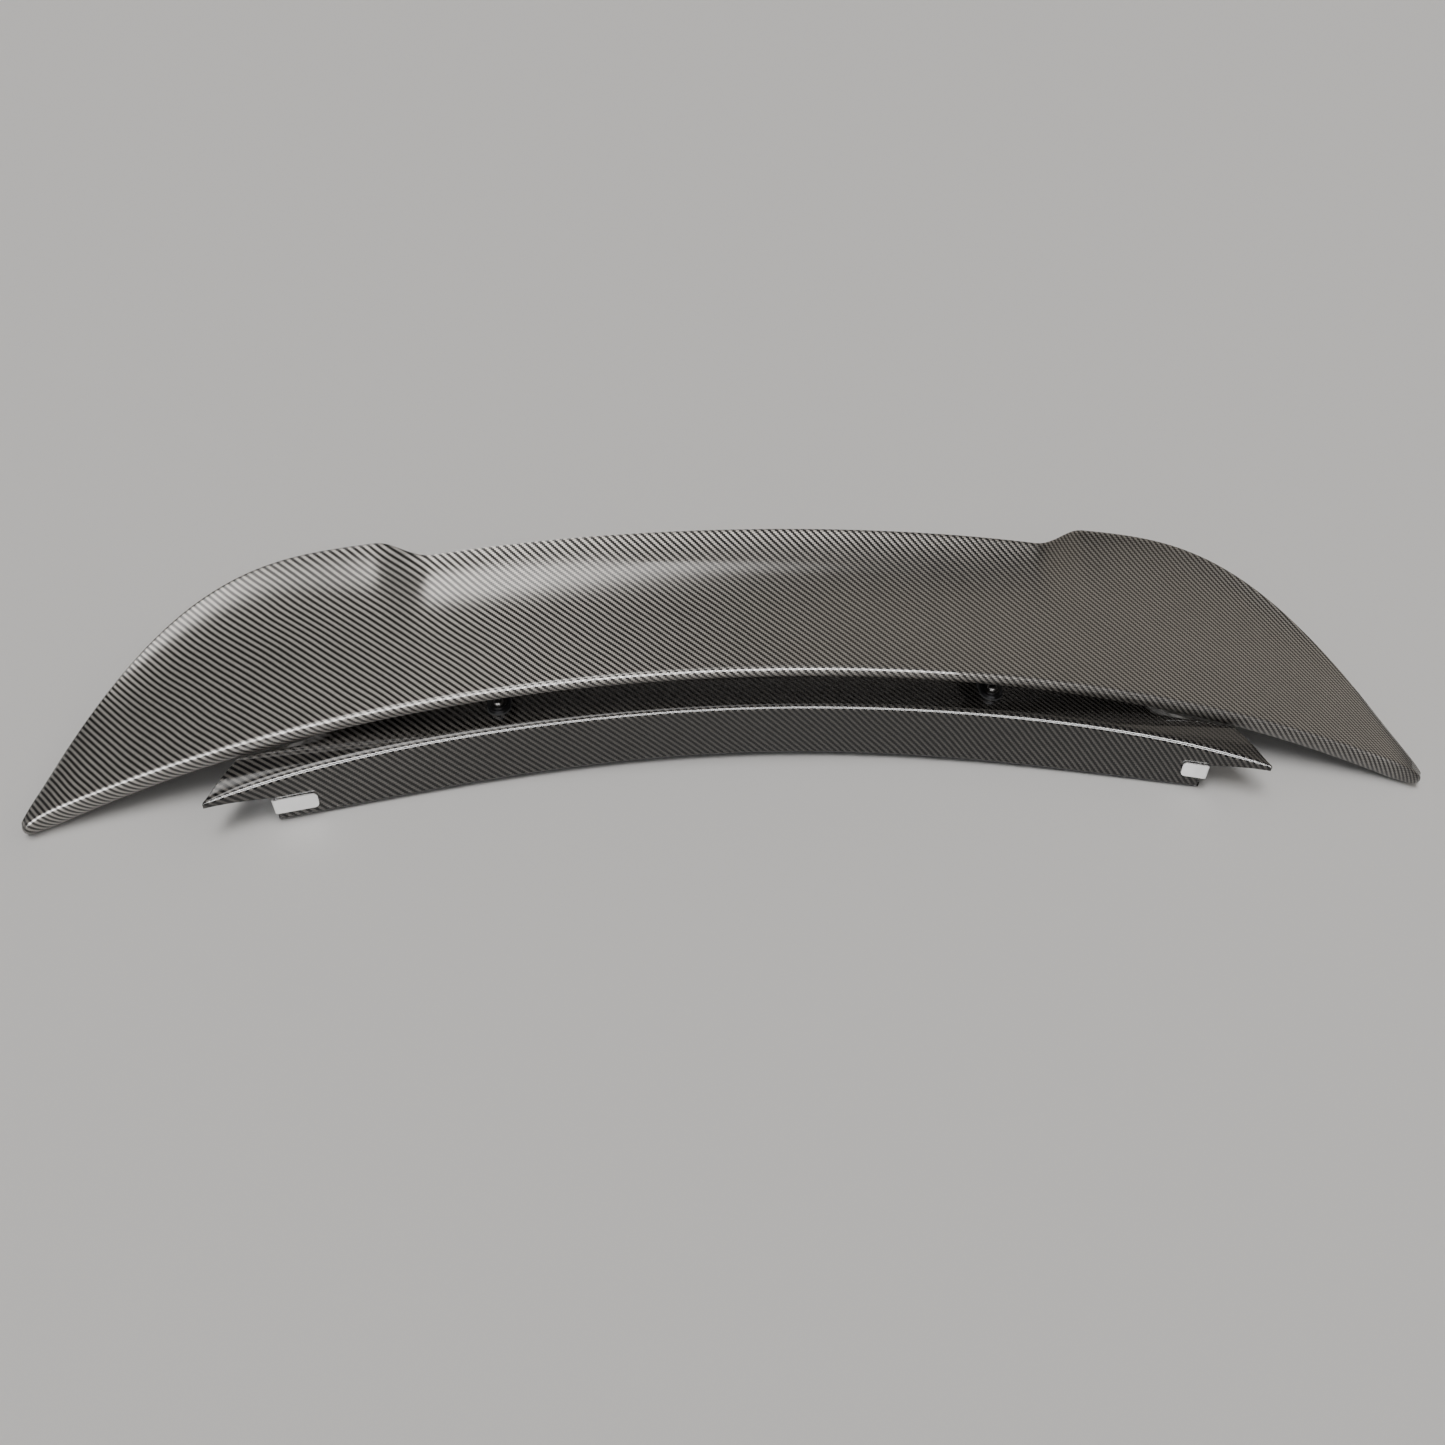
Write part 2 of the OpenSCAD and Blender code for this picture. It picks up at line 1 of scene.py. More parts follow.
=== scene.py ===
import math
import bmesh
import bpy
import numpy as np
from mathutils import Matrix, Vector


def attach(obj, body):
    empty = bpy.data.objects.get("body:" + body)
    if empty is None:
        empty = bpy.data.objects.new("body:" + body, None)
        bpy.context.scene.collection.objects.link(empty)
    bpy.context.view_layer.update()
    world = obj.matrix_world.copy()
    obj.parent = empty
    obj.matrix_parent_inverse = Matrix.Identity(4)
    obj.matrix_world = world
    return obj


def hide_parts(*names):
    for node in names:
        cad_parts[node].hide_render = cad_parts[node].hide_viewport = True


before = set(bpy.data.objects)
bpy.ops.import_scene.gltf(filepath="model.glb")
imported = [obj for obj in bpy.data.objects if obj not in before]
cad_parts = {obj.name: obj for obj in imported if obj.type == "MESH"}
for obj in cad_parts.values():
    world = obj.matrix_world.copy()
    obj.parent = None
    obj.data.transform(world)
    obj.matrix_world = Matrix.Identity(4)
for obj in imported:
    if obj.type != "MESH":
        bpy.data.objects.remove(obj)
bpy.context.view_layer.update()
MM = 0.001

# ------------------------------------------------------------------ camera
cam_data = bpy.data.cameras.new("photo_view")
cam = bpy.data.objects.new("photo_view", cam_data)
bpy.context.scene.collection.objects.link(cam)
PITCH, YAW, ROLL = math.radians(52.4937), math.radians(8.829), math.radians(5.3239)
fwd = Vector((math.sin(YAW) * math.cos(PITCH), math.cos(YAW) * math.cos(PITCH), -math.sin(PITCH)))
right0 = Vector((math.cos(YAW), -math.sin(YAW), 0))
up0 = right0.cross(fwd)
right = right0 * math.cos(ROLL) + up0 * math.sin(ROLL)
up = -right0 * math.sin(ROLL) + up0 * math.cos(ROLL)
m = Matrix((right, up, -fwd)).transposed().to_4x4()
m.translation = Vector((-0.1541, -0.8659, 1.1389))
cam.matrix_world = m
cam_data.sensor_width = 36
cam_data.lens = 36 * 1400 / 1445
cam_data.shift_x = 0.0
cam_data.shift_y = -16.5 / 1445
cam_data.clip_start, cam_data.clip_end = 0.01, 50
bpy.context.scene.camera = cam


# ------------------------------------------------------------------ shape functions, millimetres
HALF = 680.0
NOSE, TE_H, SKIN = 14.2, 5.0, 1.8


def t(x):
    return np.abs(x) / HALF


def smooth(v):
    c = np.clip(v, 0, 1)
    return c * c * (3 - 2 * c)


def le_y(x):
    return -31 - 59 * t(x) ** 2 - 36 * t(x) ** 4 - 3 * t(x) ** 6


def le_z(x):
    return 100.7 - 92 * t(x) ** 2 + 13 * t(x) ** 4


def te_y(x):
    mid = 122.5 - 11.2 * (np.abs(x) / 300) ** 2
    out = 135.3 - 253 * (np.maximum(0, np.abs(x) - 378) / (HALF - 378)) ** 3.07
    s = smooth((np.abs(x) - 307) / 58)
    return mid * (1 - s) + out * s


def te_z(x):
    return 129 - 67.7 * t(x) ** 2 - 50.7 * t(x) ** 4


def plan_end(x):
    return np.where(np.abs(x) < HALF - 8, 1, np.sqrt(np.maximum(0, 1 - ((np.abs(x) - HALF + 8) / 8.05) ** 2)))


def thick_end(x):
    return np.where(np.abs(x) < HALF - 34, 1, np.sqrt(np.maximum(0, 1 - ((np.abs(x) - HALF + 34) / 34.4) ** 2)))


def le_ye(x):
    c = le_y(x) + 0.35 * (te_y(x) - le_y(x))
    return c + (le_y(x) - c) * plan_end(x)


def te_ye(x):
    c = le_y(x) + 0.35 * (te_y(x) - le_y(x))
    return c + (te_y(x) - c) * plan_end(x)


def rise(v):
    return 0.25 * v + 0.75 * v ** 6


def top_z(x, v):
    return le_z(x) + (te_z(x) - le_z(x)) * rise(v)


def full_h(x, v):
    return TE_H + (NOSE + 12.5 * t(x) ** 2 - TE_H) * (1 - np.minimum(v, 1)) ** 0.8


def low_z(x, v):
    return top_z(x, v) - full_h(x, v)


def mid_z(x, v):
    return (top_z(x, v) + low_z(x, v)) / 2


def top_e(x, v):
    return mid_z(x, v) + (top_z(x, v) - mid_z(x, v)) * thick_end(x)


def low_e(x, v):
    return mid_z(x, v) + (low_z(x, v) - mid_z(x, v)) * thick_end(x)


def chord_y(x, v):
    return le_ye(x) + (te_ye(x) - le_ye(x)) * v


BASE_HALF, TONGUE = 511.0, 450.0
FALL = 0.23


def front_y(x):
    return -56 - 106.3 * t(x) ** 2 + 45.7 * t(x) ** 4 - 152.4 * t(x) ** 6


def front_z(x):
    return 68 - 48 * t(x) ** 2


def foot_y(x):
    return -66.8 - 165.7 * t(x) ** 2 + 80 * t(x) ** 4


def foot_z(x):
    return 4.2 - 8.9 * t(x) ** 2


def end_y(x):
    return front_y(BASE_HALF) + 2 + (BASE_HALF - np.abs(x)) * 1.9


def back_y(x):
    s = smooth((np.abs(x) - 372) / 54)
    return (62 - 90 * t(x) ** 2) * (1 - s) + le_y(x) * s


def rear_y(x):
    a, b, k = back_y(x), end_y(x), 8
    h = np.clip(0.5 + 0.5 * (b - a) / k, 0, 1)
    return b * (1 - h) + a * h - k * h * (1 - h)


def fall(x):
    return FALL * (1 - np.minimum(1, np.abs(x) / BASE_HALF) ** 2)


def facet_w(x):
    return 7 + 13 * np.clip((np.abs(x) - 415) / 90, 0, 1)


def facet_z(x, y):
    return 0.2 * smooth((np.abs(x) - 375) / 60) * np.maximum(0, np.minimum(y - front_y(x), facet_w(x)) - 6)


def dip_z(x, y):
    steep = 0.3 + 0.8 * np.clip((np.abs(x) - 420) / 60, 0, 1)
    return smooth((np.abs(x) - 395) / 20) * steep * np.maximum(0, y - le_y(x) + 10.5)


def deck_z(x, y):
    return front_z(x) - (y - front_y(x)) * fall(x) + facet_z(x, y) - dip_z(x, y)


def tip_z(x):
    return 26 + 9 * (np.abs(x) - TONGUE) / (BASE_HALF - TONGUE)


def under_z(x):
    return np.where(np.abs(x) <= TONGUE, foot_z(x), tip_z(x))


def wall_y(x, z):
    return front_y(x) + (foot_y(x) - front_y(x)) * (front_z(x) - z) / (front_z(x) - foot_z(x))


# ------------------------------------------------------------------ mesh helpers
def grid_object(name, rows, weave=None, caps=True):
    """rows: (stations, ring points, 3) in mm, joined into a closed loft. weave: (u, v) in mm, kept as a point attribute and as a UV map."""
    n, k = rows.shape[:2]
    faces = []
    for i in range(n - 1):
        a, b = i * k, (i + 1) * k
        for j in range(k):
            j2 = (j + 1) % k
            faces.append((a + j, a + j2, b + j2, b + j))
    if caps:
        faces.append(tuple(range(k - 1, -1, -1)))
        faces.append(tuple((n - 1) * k + j for j in range(k)))
    me = bpy.data.meshes.new(name)
    me.from_pydata([tuple(v) for v in rows.reshape(-1, 3) * MM], [], faces)
    me.update()
    bm = bmesh.new()
    bm.from_mesh(me)
    bmesh.ops.recalc_face_normals(bm, faces=bm.faces)
    bm.to_mesh(me)
    bm.free()
    if weave is not None:
        put_weave(me, weave.reshape(-1, 2))
    me.polygons.foreach_set("use_smooth", [True] * len(me.polygons))
    ob = bpy.data.objects.new(name, me)
    bpy.context.scene.collection.objects.link(ob)
    return ob


def put_weave(me, uv):
    w = np.zeros((len(me.vertices), 3), np.float32)
    w[:, :2] = uv
    att = me.attributes.new("weave", "FLOAT_VECTOR", "POINT")
    att.data.foreach_set("vector", w.ravel())
    layer = me.uv_layers.new(name="cloth", do_init=False)
    idx = np.empty(len(me.loops), np.int32)
    me.loops.foreach_get("vertex_index", idx)
    layer.uv.foreach_set("vector", (w[idx, :2] / 100).astype(np.float32).ravel())


def sharpen(ob, angle):
    """Marks edges sharper than the angle, so that smooth shading keeps them crisp."""
    bm = bmesh.new()
    bm.from_mesh(ob.data)
    for e in bm.edges:
        if len(e.link_faces) == 2 and e.calc_face_angle(0) > math.radians(angle):
            e.smooth = False
    bm.to_mesh(ob.data)
    bm.free()


def span_arc(x, y, z):
    d = np.r_[0, np.cumsum(np.sqrt(np.diff(x) ** 2 + np.diff(y) ** 2 + np.diff(z) ** 2))]
    return d - np.interp(0, x, d)


def stations(half, n, extra=()):
    i = np.arange(n + 1) / n
    x = half * (0.45 * np.sin(np.pi / 2 * i) + 0.55 * i)
    x = np.unique(np.round(np.r_[x, extra], 3))
    return np.r_[-x[::-1][:-1], x]


# ------------------------------------------------------------------ blade shell
WIN = 628.0                                  # the lower skin's window ends here
V0, V1 = 0.085, 0.9                          # and runs over this part of the chord
bx = stations(HALF - 0.4, 150, (WIN - 0.4, WIN, 677, 678.4, 679.1, 679.45))
bx = bx[np.abs(bx) <= HALF - 0.39]
vt = np.r_[0, 0.012, 0.03, 0.055, np.linspace(0.085, 0.97, 46), 0.985, 0.996]
POCKET = 4.3


def blade_section(x, pocket):
    yt, zt = chord_y(x, vt), top_e(x, vt)
    p1 = float(plan_end(x))
    te, zt1, zb1 = float(te_ye(x)), float(top_e(x, 1.0)), float(low_e(x, 1.0))
    a = np.radians([60, 35, 12, -12, -35, -60])
    ye, ze = te + 1.2 * p1 * np.cos(a), (zt1 + zb1) / 2 + (zt1 - zb1) / 2 * np.sin(a)
    vb = np.r_[0.985, 0.955, 0.925, V1 + 0.004, V1, V1 - 0.0002, np.linspace(V1 - 0.01, V0 + 0.01, 30), V0 + 0.0002, V0, V0 - 0.004, 0.05, 0.02, 0.0]
    yb, zb = chord_y(x, vb), low_e(x, vb)
    if pocket:
        inside = (vb < V1 - 0.0001) & (vb > V0 + 0.0001)
        zb = zb + np.where(inside, np.minimum(POCKET, full_h(x, vb) - 1.0), 0)
    a = np.radians(np.linspace(-84, 84, 25))
    le, z1, z0 = float(le_ye(x)), float(top_e(x, 0.0)), float(low_e(x, 0.0))
    yn = le - 6.0 * p1 * np.cos(a) ** 0.9
    zn = (z1 + z0) / 2 + (z1 - z0) / 2 * np.sin(a)
    y, z = np.r_[yt, ye, yb, yn], np.r_[zt, ze, zb, zn]
    s = np.r_[0, np.cumsum(np.hypot(np.diff(y), np.diff(z)))]
    ring = s[-1] + math.hypot(y[0] - y[-1], z[0] - z[-1])
    top = len(yt) + len(ye)                  # the cloth's joint lies under the trailing edge
    return y, z, np.r_[s[:top], s[top:] - ring]


def blade_rows():
    mid = (le_y(bx) * 0.55 + te_y(bx) * 0.45, le_z(bx) * 0.7 + te_z(bx) * 0.3)
    u = span_arc(bx, *mid)
    rows, weave = [], []
    for i, x in enumerate(bx):
        y, z, s = blade_section(float(x), abs(x) < WIN - 0.2)
        rows.append(np.stack([np.full_like(y, x), y, z], 1))
        weave.append(np.stack([np.full_like(s, u[i]), s], 1))
    return np.array(rows), np.array(weave)


shell = grid_object("blade_shell", *blade_rows())
sharpen(shell, 50)

# the lower skin: a thin panel that lies in the pocket, 2.2 mm up from the shell's face
px_ = np.r_[-WIN + 0.7, bx[np.abs(bx) < WIN - 1], WIN - 0.7]
GAP = SKIN + 0.4


def panel_rows():
    v = np.r_[V1 - 0.003, np.linspace(V1 - 0.012, V0 + 0.012, 34), V0 + 0.003]
    mid = (le_y(px_) * 0.55 + te_y(px_) * 0.45, le_z(px_) * 0.7 + te_z(px_) * 0.3)
    u = span_arc(px_, *mid)
    rows, weave = [], []
    for i, x in enumerate(px_):
        y = chord_y(x, v)
        z0 = low_z(x, v) + GAP
        z1 = np.minimum(z0 + SKIN, low_z(x, v) + np.minimum(POCKET, full_h(x, v) - 1.0) - 0.05)
        yy, zz = np.r_[y, y[::-1]], np.r_[z0, z1[::-1]]
        rows.append(np.stack([np.full_like(yy, x), yy, zz], 1))
        weave.append(np.stack([np.full_like(yy, u[i]), -yy], 1))
    return np.array(rows), np.array(weave)


panel = grid_object("blade_lower_panel", *panel_rows())
sharpen(panel, 50)

# ------------------------------------------------------------------ base shell
gx = stations(BASE_HALF, 130, (TONGUE - 6, TONGUE - 3, TONGUE - 1.2, TONGUE - 0.5, TONGUE + 0.5, 456, 505, 508.5))


def base_under(x):
    """Height of the shell's lower edge, with a small radius where the deep wall ends."""
    e = TONGUE - 0.5 - np.abs(x)
    r = 5.0
    lift_ = np.where((e >= 0) & (e < r), r - np.sqrt(np.maximum(0, r * r - (r - e) ** 2)), 0)
    return under_z(x) + lift_


def base_section(x):
    f, z, b = float(front_y(x)), float(front_z(x)), float(base_under(x))
    w, k = float(wall_y(x, b)), float(rear_y(x))
    kz = float(deck_z(x, k))
    r = min(6.0, (z - b) * 0.42, (k - f) * 0.3)
    lean = (w - f) / max(1.0, z - b)
    sl = float(fall(x))
    d = max(r + 0.5, min(float(facet_w(x)), (k - f) * 0.6))
    ys, zs = [], []
    turn = 4.5 if abs(x) <= TONGUE else 0.8
    for a in np.radians(np.linspace(90, 0, 9))[:-1]:
        q = turn * (1 - math.sin(a))
        ys.append(w + (f - w) * q / (z - b) + turn * (1 - math.cos(a)))
        zs.append(b + q)
    for q in np.linspace(0, 1, 12)[:-1]:
        zz = b + turn + (z - r - b - turn) * q
        ys.append(f + lean * (z - zz))
        zs.append(zz)
    for a in np.radians(np.linspace(0, 90, 12)):
        ys.append(f + r * (1 - math.cos(a)) + lean * r * (1 - math.sin(a)))
        zs.append(z - r * (1 - math.sin(a)) - r * (1 - math.cos(a)) * sl)
    ks = float(deck_z(x, k - 1)) - kz
    kr = min(5 - 3 * min(1, max(0, ks * 2)), (kz - b) * 0.3, (k - f) * 0.2)
    e = float(le_y(x)) - 10.5
    c = e if abs(x) > 395 and f + d + 1 < e < k - kr - 0.5 else f + d + (k - kr - f - d) * 0.7
    mid = np.r_[f + r + (d - r) * np.array([0.34, 0.67, 1.0]), f + d + (c - f - d) * np.linspace(0.1, 1, 12), c + (k - kr - c) * np.array([0.2, 0.4, 0.6, 0.8, 0.97])]
    ys += list(mid)
    zs += list(deck_z(x, mid))
    for a in np.radians(np.linspace(90, 0, 8)):
        ys.append(k - kr * (1 - math.cos(a)))
        zs.append(kz - kr * (1 - math.sin(a)) + kr * (1 - math.cos(a)) * ks)
    ys.append(k)
    zs.append(b)
    return np.array(ys), np.array(zs)


def base_rows():
    rows = []
    for x in gx:
        y, z = base_section(float(x))
        rows.append(np.stack([np.full_like(y, x), y, z], 1))
    return np.array(rows)


def base_weave(p):
    """Cloth coordinates from the place on the shell: it runs up the front wall, over the deck and down behind."""
    x, y, z = p.T
    u = np.interp(x, gx, span_arc(gx, front_y(gx), front_z(gx)))
    f, k = front_y(x), rear_y(x)
    v = np.clip(y - f, 0, 1e4) - np.where(y - f < (k - f) / 2, np.maximum(0, front_z(x) - z - 2), -np.maximum(0, deck_z(x, k) - z))
    return np.stack([u, v], 1)


WALL = 2.0


def hollow_rows():
    """The space under the deck, closed in below by the tray."""
    xs = np.r_[-(TONGUE - 3), gx[np.abs(gx) < TONGUE - 4], TONGUE - 3]
    rows = []
    for x in xs:
        b, f, z = float(foot_z(x)), float(front_y(x)), float(front_z(x))
        w, k = float(foot_y(x)), float(rear_y(x)) - WALL
        m_ = (f + k) / 2
        p = [(w + WALL * 1.05 + (w - f) * 0.1, b - 8), (w + WALL * 1.05, b), (f + WALL * 1.05, z - 8),
             (f + WALL + 4.5, float(deck_z(x, f + 4.5)) - WALL * 1.05), (m_, float(deck_z(x, m_)) - WALL),
             (k - 4.5, float(deck_z(x, k - 4.5)) - WALL), (k, float(deck_z(x, k)) - WALL - 4), (k, b - 8)]
        rows.append([(x, a, c) for a, c in p])
    return np.array(rows)


def tip_hollow_rows(side):
    rows = []
    for x in (TONGUE + 3, 460, 468, 476, 484, 491):
        b, f = float(tip_z(x)), float(front_y(x))
        w, k = float(wall_y(x, b)), float(rear_y(x)) - WALL * 1.4
        y1 = f + WALL * 2
        p = [(w + WALL * 1.4, b - 8), (w + WALL * 1.4, b), (y1, float(deck_z(x, y1)) - WALL * 2), (k, float(deck_z(x, k)) - WALL * 1.3), (k, b - 8)]
        rows.append([(x * side, a, c) for a, c in p])
    return np.array(rows)


base = grid_object("base_shell", base_rows())
cutters = [grid_object("cut", r) for r in (hollow_rows(), tip_hollow_rows(1), tip_hollow_rows(-1))]
for c in cutters:
    md = base.modifiers.new("cut", "BOOLEAN")
    md.operation, md.object, md.solver = "DIFFERENCE", c, "EXACT"
deps = bpy.context.evaluated_depsgraph_get()
cut = bpy.data.meshes.new_from_object(base.evaluated_get(deps))
base.modifiers.clear()
base.data = cut
for c in cutters:
    bpy.data.objects.remove(c)
pts = np.empty(len(cut.vertices) * 3)
cut.vertices.foreach_get("co", pts)
put_weave(cut, base_weave(pts.reshape(-1, 3) / MM))
sharpen(base, 32)

# ------------------------------------------------------------------ materials
def new_mat(name):
    mat = bpy.data.materials.new(name)
    mat.use_nodes = True
    nt = mat.node_tree
    nt.nodes.clear()
    out = nt.nodes.new("ShaderNodeOutputMaterial")
    b = nt.nodes.new("ShaderNodeBsdfPrincipled")
    nt.links.new(b.outputs[0], out.inputs[0])
    return mat, nt, b


class G:
    """Short way to write chains of math nodes."""

    def __init__(self, nt):
        self.nt = nt

    def put(self, socket, v):
        if isinstance(v, (int, float, tuple)):
            socket.default_value = v
        elif v is not None:
            self.nt.links.new(v, socket)

    def m(self, op, a, b=None, c=None, clamp=False):
        n = self.nt.nodes.new("ShaderNodeMath")
        n.operation = op
        n.use_clamp = clamp
        for i, v in enumerate((a, b, c)):
            self.put(n.inputs[i], v)
        return n.outputs[0]

    def vm(self, op, a, b=None):
        n = self.nt.nodes.new("ShaderNodeVectorMath")
        n.operation = op
        self.put(n.inputs[0], a)
        self.put(n.inputs[1], b)
        return n.outputs[0]

    def mixc(self, f, a, b):
        n = self.nt.nodes.new("ShaderNodeMix")
        n.data_type = "RGBA"
        for k, v in ((0, f), (6, a), (7, b)):
            self.put(n.inputs[k], v)
        return n.outputs[2]

    def mixv(self, f, a, b):
        n = self.nt.nodes.new("ShaderNodeMix")
        n.data_type = "VECTOR"
        for k, v in ((0, f), (4, a), (5, b)):
            self.put(n.inputs[k], v)
        return n.outputs[1]

    def xyz(self, a, b, c):
        n = self.nt.nodes.new("ShaderNodeCombineXYZ")
        for i, v in enumerate((a, b, c)):
            self.put(n.inputs[i], v)
        return n.outputs[0]

    def noise(self, vec, scale, detail=2, rough=0.5):
        n = self.nt.nodes.new("ShaderNodeTexNoise")
        n.inputs["Scale"].default_value = scale
        n.inputs["Detail"].default_value = detail
        n.inputs["Roughness"].default_value = rough
        self.put(n.inputs["Vector"], vec)
        return n.outputs["Fac"]

    def ramp(self, f, lo, hi):
        n = self.nt.nodes.new("ShaderNodeMapRange")
        n.inputs["From Min"].default_value = lo
        n.inputs["From Max"].default_value = hi
        self.put(n.inputs["Value"], f)
        return n.outputs[0]

    def bump(self, h, strength, dist):
        n = self.nt.nodes.new("ShaderNodeBump")
        n.inputs["Strength"].default_value = strength
        n.inputs["Distance"].default_value = dist
        self.put(n.inputs["Height"], h)
        return n.outputs[0]


PITCH_MM = 1.78


def carbon_material(name, gain=1.0, metallic=0.8):
    mat, nt, b = new_mat(name)
    g = G(nt)
    at = nt.nodes.new("ShaderNodeAttribute")
    at.attribute_name = "weave"
    vec = at.outputs["Vector"]
    sep = nt.nodes.new("ShaderNodeSeparateXYZ")
    nt.links.new(vec, sep.inputs[0])
    # the cloth wanders a little as it is laid up
    wob = g.m("MULTIPLY", g.m("SUBTRACT", g.noise(vec, 0.012, 1), 0.5), 4.5)
    wob2 = g.m("MULTIPLY", g.m("SUBTRACT", g.noise(vec, 0.11, 1), 0.5), 0.9)
    w = g.m("ADD", wob, wob2)
    u = g.m("DIVIDE", g.m("ADD", sep.outputs[0], w), PITCH_MM)
    v = g.m("DIVIDE", g.m("SUBTRACT", sep.outputs[1], wob2), PITCH_MM)
    iu, iv = g.m("FLOOR", u), g.m("FLOOR", v)
    fu, fv = g.m("SUBTRACT", u, iu), g.m("SUBTRACT", v, iv)
    ph = g.m("FLOORED_MODULO", g.m("ADD", g.m("ADD", iu, iv), 0.5), 4)
    warp = g.m("LESS_THAN", ph, 2.0)                     # the chordwise tow is on top
    weft = g.m("SUBTRACT", 1, warp)
    odd = g.m("FLOOR", g.m("FLOORED_MODULO", ph, 2))     # second half of the float
    across = g.m("ADD", g.m("MULTIPLY", fu, warp), g.m("MULTIPLY", fv, weft))
    along = g.m("DIVIDE", g.m("ADD", g.m("ADD", g.m("MULTIPLY", fv, warp), g.m("MULTIPLY", fu, weft)), odd), 2)
    ca = g.m("SUBTRACT", g.m("MULTIPLY", across, 2), 1)
    cl = g.m("SUBTRACT", g.m("MULTIPLY", along, 2), 1)
    dome = g.m("SUBTRACT", 1, g.m("POWER", g.m("ABSOLUTE", ca), 4))
    arch = g.m("SUBTRACT", 1, g.m("MULTIPLY", cl, cl))
    # filaments inside each tow
    fil = g.noise(g.xyz(g.m("MULTIPLY", across, 11), g.m("ADD", g.m("MULTIPLY", iu, 7.3), g.m("MULTIPLY", along, 1.2)), g.m("MULTIPLY", iv, 5.1)), 1.0, 3, 0.6)
    wn = nt.nodes.new("ShaderNodeTexWhiteNoise")
    nt.links.new(g.xyz(iu, iv, 0.0), wn.inputs["Vector"])
    patch = g.noise(vec, 0.02, 3)
    light = g.m("MULTIPLY", g.m("ADD", 0.7, g.m("MULTIPLY", fil, 0.6)), g.m("ADD", 0.45, g.m("MULTIPLY", dome, 0.55)))
    light = g.m("MULTIPLY", light, g.m("ADD", 0.62, g.m("MULTIPLY", arch, 0.38)))
    light = g.m("MULTIPLY", light, g.m("ADD", 0.9, g.m("MULTIPLY", wn.outputs["Value"], 0.2)))
    light = g.m("MULTIPLY", light, g.m("ADD", 0.88, g.m("MULTIPLY", patch, 0.24)))
    # the weft tows are painted far brighter than the warp tows: painted sheen standing in for the fibres' directional
    # reflection; the filament, cell and patch noise are the cloth's own colour variation
    grain_and_sheen_tone = g.m("MULTIPLY", light, g.m("ADD", CARBON["weft"], g.m("MULTIPLY", warp, CARBON["warp"] - CARBON["weft"])), clamp=True)
    # a gain below 1 makes a darker copy of the same carbon; the base's copy uses it partly as painted shade
    bright = tuple(c * gain for c in CARBON["bright"][:3]) + (1,)
    col = g.mixc(grain_and_sheen_tone, (0.003, 0.003, 0.0034, 1), bright)
    nt.links.new(col, b.inputs["Base Color"])
    b.inputs["Metallic"].default_value = metallic
    nt.links.new(g.m("ADD", CARBON["rough"], g.m("MULTIPLY", fil, 0.12)), b.inputs["Roughness"])
    b.inputs["Anisotropic"].default_value = CARBON["aniso"]
    tan = nt.nodes.new("ShaderNodeTangent")
    tan.direction_type = "UV_MAP"
    tan.uv_map = "cloth"
    geo = nt.nodes.new("ShaderNodeNewGeometry")
    side = g.vm("CROSS_PRODUCT", geo.outputs["Normal"], tan.outputs[0])
    # glints spread across the filaments: a chordwise tow spreads light along the span
    nt.links.new(g.mixv(warp, side, tan.outputs[0]), b.inputs["Tangent"])
    height = g.m("ADD", g.m("MULTIPLY", g.m("POWER", dome, 0.6), 0.5), g.m("MULTIPLY", arch, 0.5))
    nt.links.new(g.bump(height, 0.5, 0.0002), b.inputs["Normal"])
    b.inputs["Specular IOR Level"].default_value = 0.5
    b.inputs["Coat Weight"].default_value = 1.0
    b.inputs["Coat Roughness"].default_value = 0.02
    b.inputs["Coat IOR"].default_value = 1.5
    return mat


# warp and weft set the tow brightness; their large difference is painted sheen, not a real colour difference between
# the tows
CARBON = {"warp": 0.06, "weft": 1.0, "bright": (0.27, 0.252, 0.23, 1), "rough": 0.33, "aniso": 0.8}


def metal(name, colour, rough, scale=(900, 60, 900), depth=0.00006, anis=0.4, wear=0.12):
    mat, nt, b = new_mat(name)
    g = G(nt)
    tc = nt.nodes.new("ShaderNodeTexCoord")
    mp = nt.nodes.new("ShaderNodeMapping")
    mp.inputs["Scale"].default_value = scale
    nt.links.new(tc.outputs["Object"], mp.inputs[0])
    grain = g.noise(mp.outputs[0], 1.0, 3, 0.6)
    blot = g.noise(tc.outputs["Object"], 90, 3)
    geo = nt.nodes.new("ShaderNodeNewGeometry")
    edge = g.ramp(geo.outputs["Pointiness"], 0.5, 0.56)
    dark = tuple(c * (1 - wear) for c in colour[:3]) + (1,)
    col = g.mixc(g.m("ADD", g.m("MULTIPLY", grain, 0.5), g.m("MULTIPLY", blot, 0.5)), dark, colour)
    lightened = tuple(min(1, c * 1.15 + 0.02) for c in colour[:3]) + (1,)
    col = g.mixc(g.m("MULTIPLY", edge, 0.7, clamp=True), col, lightened)
    nt.links.new(col, b.inputs["Base Color"])
    b.inputs["Metallic"].default_value = 1.0
    nt.links.new(g.m("ADD", rough - 0.06, g.m("MULTIPLY", blot, 0.14)), b.inputs["Roughness"])
    nt.links.new(g.bump(grain, 0.35, depth), b.inputs["Normal"])
    b.inputs["Anisotropic"].default_value = anis
    return mat


def plastic(name, colour, rough, grain_scale, grain_depth, lift=0.25):
    mat, nt, b = new_mat(name)
    g = G(nt)
    tc = nt.nodes.new("ShaderNodeTexCoord")
    fine = g.noise(tc.outputs["Object"], grain_scale, 3, 0.6)
    broad = g.noise(tc.outputs["Object"], 25, 3)
    hi = tuple(min(1, c * (1 + lift) + 0.008) for c in colour[:3]) + (1,)
    nt.links.new(g.mixc(g.m("ADD", g.m("MULTIPLY", fine, 0.5), g.m("MULTIPLY", broad, 0.5)), colour, hi), b.inputs["Base Color"])
    nt.links.new(g.m("ADD", rough - 0.08, g.m("MULTIPLY", broad, 0.16)), b.inputs["Roughness"])
    nt.links.new(g.bump(fine, 0.5, grain_depth), b.inputs["Normal"])
    return mat


